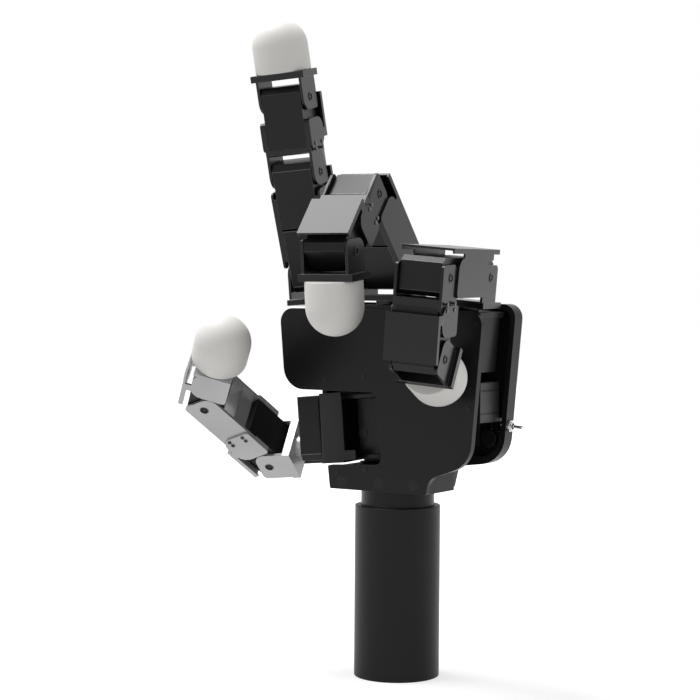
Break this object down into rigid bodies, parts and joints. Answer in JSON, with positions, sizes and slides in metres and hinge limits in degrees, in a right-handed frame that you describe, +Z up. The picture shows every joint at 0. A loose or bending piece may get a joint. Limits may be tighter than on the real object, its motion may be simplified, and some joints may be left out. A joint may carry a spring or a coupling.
{
  "type": "dexterous robot hand",
  "caption": "Left-handed robot hand with three fingers and an opposed thumb, jointed black metal links, white rounded rubber fingertips and a round mounting post.",
  "frame": {"origin": "centre of the post's bottom face", "axes": "+Z up along the post towards the fingers, the palm faces -Y, thumb and index finger are on the -X side"},
  "size_m": [0.1666, 0.1111, 0.3354],
  "materials": {
    "palm_plate": "black anodised, satin",
    "back_shell": "black anodised, satin",
    "wrist": "black anodised, satin",
    "post": "black powder coat, satin",
    "fasteners": "blackened steel",
    "circuit_board": "black solder mask",
    "driver_module": "moulded case",
    "socket": "moulded",
    "switch_metal": "bright nickel plate",
    "fingertip": "smooth off-white silicone rubber",
    "axle": "blackened steel",
    "drive_casing": "black moulded gearbox case",
    "bracket": "black anodised aluminium, semi-gloss"
  },
  "bodies": {
    "palm": {"palm_plate": "palm_plate", "back_shell": "back_shell", "wrist_block": "wrist", "wrist_collar": "wrist", "post": "post", "standoffs": "fasteners", "plate_screws": "fasteners", "control_board": "circuit_board", "driver_module": "driver_module", "power_socket": "socket", "switch_body": "switch_metal", "index_drive": "drive_casing", "middle_drive": "drive_casing", "ring_drive": "drive_casing", "thumb_drive": "drive_casing"},
    "toggle": {"toggle_lever": "switch_metal"},
    "index_knuckle_link": {"index_knuckle": "bracket", "index_knuckle_axle": "axle"},
    "index_proximal_link": {"index_proximal_drive_lower": "drive_casing", "index_proximal_drive_upper": "drive_casing", "index_proximal_frame": "bracket"},
    "index_middle_link": {"index_middle_bracket": "bracket", "index_middle_axle": "axle", "index_middle_drive": "drive_casing"},
    "index_distal_link": {"index_distal_bracket": "bracket", "index_distal_axle": "axle", "index_fingertip": "fingertip"},
    "middle_knuckle_link": {"middle_knuckle": "bracket", "middle_knuckle_axle": "axle"},
    "middle_proximal_link": {"middle_proximal_drive_lower": "drive_casing", "middle_proximal_drive_upper": "drive_casing", "middle_proximal_frame": "bracket"},
    "middle_middle_link": {"middle_middle_bracket": "bracket", "middle_middle_axle": "axle", "middle_middle_drive": "drive_casing"},
    "middle_distal_link": {"middle_distal_bracket": "bracket", "middle_distal_axle": "axle", "middle_fingertip": "fingertip"},
    "ring_knuckle_link": {"ring_knuckle": "bracket", "ring_knuckle_axle": "axle"},
    "ring_proximal_link": {"ring_proximal_drive_lower": "drive_casing", "ring_proximal_drive_upper": "drive_casing", "ring_proximal_frame": "bracket"},
    "ring_middle_link": {"ring_middle_bracket": "bracket", "ring_middle_axle": "axle", "ring_middle_drive": "drive_casing"},
    "ring_distal_link": {"ring_distal_bracket": "bracket", "ring_distal_axle": "axle", "ring_fingertip": "fingertip"},
    "thumb_root_link": {"thumb_base": "bracket", "thumb_base_drive": "drive_casing"},
    "thumb_knuckle_link": {"thumb_knuckle": "bracket", "thumb_knuckle_axle": "axle"},
    "thumb_proximal_link": {"thumb_proximal_drive": "drive_casing", "thumb_proximal_frame": "bracket", "thumb_fork": "bracket", "thumb_fork_axle": "axle"},
    "thumb_distal_link": {"thumb_distal_drive": "drive_casing", "thumb_distal_frame": "bracket", "thumb_fingertip": "fingertip"}
  },
  "joints": [
    {"name": "index_spread", "type": "hinge", "parent": "palm", "child": "index_knuckle_link", "pos_m": [-0.0435, -0.0093, 0.18946], "axis": [-0.0872, 0, 0.9962], "range_deg": [-39, 15]},
    {"name": "index_base", "type": "hinge", "parent": "index_knuckle_link", "child": "index_proximal_link", "pos_m": [-0.04493, -0.0093, 0.2058], "axis": [0.9744, 0.2079, 0.0853], "range_deg": [-28.2, 66]},
    {"name": "index_middle", "type": "hinge", "parent": "index_proximal_link", "child": "index_middle_link", "pos_m": [-0.04616, -0.02474, 0.25753], "axis": [0.9744, 0.2079, 0.0853], "range_deg": [-5, 97.5]},
    {"name": "index_tip", "type": "hinge", "parent": "index_middle_link", "child": "index_distal_link", "pos_m": [-0.04778, -0.03255, 0.29509], "axis": [0.9744, 0.2079, 0.0853], "range_deg": [-13, 80]},
    {"name": "middle_spread", "type": "hinge", "parent": "palm", "child": "middle_knuckle_link", "pos_m": [0, -0.0093, 0.1917], "axis": [0, 0, 1], "range_deg": [-33.5, 15]},
    {"name": "middle_base", "type": "hinge", "parent": "middle_knuckle_link", "child": "middle_proximal_link", "pos_m": [0, -0.0093, 0.2081], "axis": [0.9936, 0.1132, 0], "range_deg": [-58.2, 45.2]},
    {"name": "middle_middle", "type": "hinge", "parent": "middle_proximal_link", "child": "middle_middle_link", "pos_m": [0.00447, -0.04854, 0.24493], "axis": [0.9936, 0.1132, 0], "range_deg": [-100.5, 2]},
    {"name": "middle_tip", "type": "hinge", "parent": "middle_middle_link", "child": "middle_distal_link", "pos_m": [0.00741, -0.07432, 0.21662], "axis": [0.9936, 0.1132, 0], "range_deg": [-61.5, 6.5]},
    {"name": "ring_spread", "type": "hinge", "parent": "palm", "child": "ring_knuckle_link", "pos_m": [0.0435, -0.0093, 0.18946], "axis": [0.0872, 0, 0.9962], "range_deg": [-15, 10]},
    {"name": "ring_base", "type": "hinge", "parent": "ring_knuckle_link", "child": "ring_proximal_link", "pos_m": [0.04493, -0.0093, 0.2058], "axis": [0.9865, 0.1392, -0.0863], "range_deg": [-101.2, 0.5]},
    {"name": "ring_middle", "type": "hinge", "parent": "ring_proximal_link", "child": "ring_middle_link", "pos_m": [0.05242, -0.06277, 0.20514], "axis": [0.9865, 0.1392, -0.0863], "range_deg": [-102.5, 0]},
    {"name": "ring_tip", "type": "hinge", "parent": "ring_middle_link", "child": "ring_distal_link", "pos_m": [0.04884, -0.06112, 0.16694], "axis": [0.9865, 0.1392, -0.0863], "range_deg": [-76, 0]},
    {"name": "thumb_swing", "type": "hinge", "parent": "palm", "child": "thumb_root_link", "pos_m": [-0.01933, 0.0089, 0.14501], "axis": [-0.0872, 0, 0.9962], "range_deg": [0, 29]},
    {"name": "thumb_spread", "type": "hinge", "parent": "thumb_root_link", "child": "thumb_knuckle_link", "pos_m": [-0.05505, -0.00362, 0.11479], "axis": [-0.9779, -0.1908, -0.0856], "range_deg": [-19.1, 53.5]},
    {"name": "thumb_base", "type": "hinge", "parent": "thumb_knuckle_link", "child": "thumb_proximal_link", "pos_m": [-0.07236, -0.007, 0.11327], "axis": [-0.1927, 0.6632, 0.7232], "range_deg": [-79.9, 0]},
    {"name": "thumb_tip", "type": "hinge", "parent": "thumb_proximal_link", "child": "thumb_distal_link", "pos_m": [-0.08638, -0.04525, 0.14461], "axis": [-0.1927, 0.6632, 0.7232], "range_deg": [-61.2, 0]},
    {"name": "toggle_tilt", "type": "hinge", "parent": "palm", "child": "toggle", "pos_m": [0.05486, 0.0172, 0.13], "axis": [0, -1, 0], "range_deg": [-12, 12]}
  ]
}
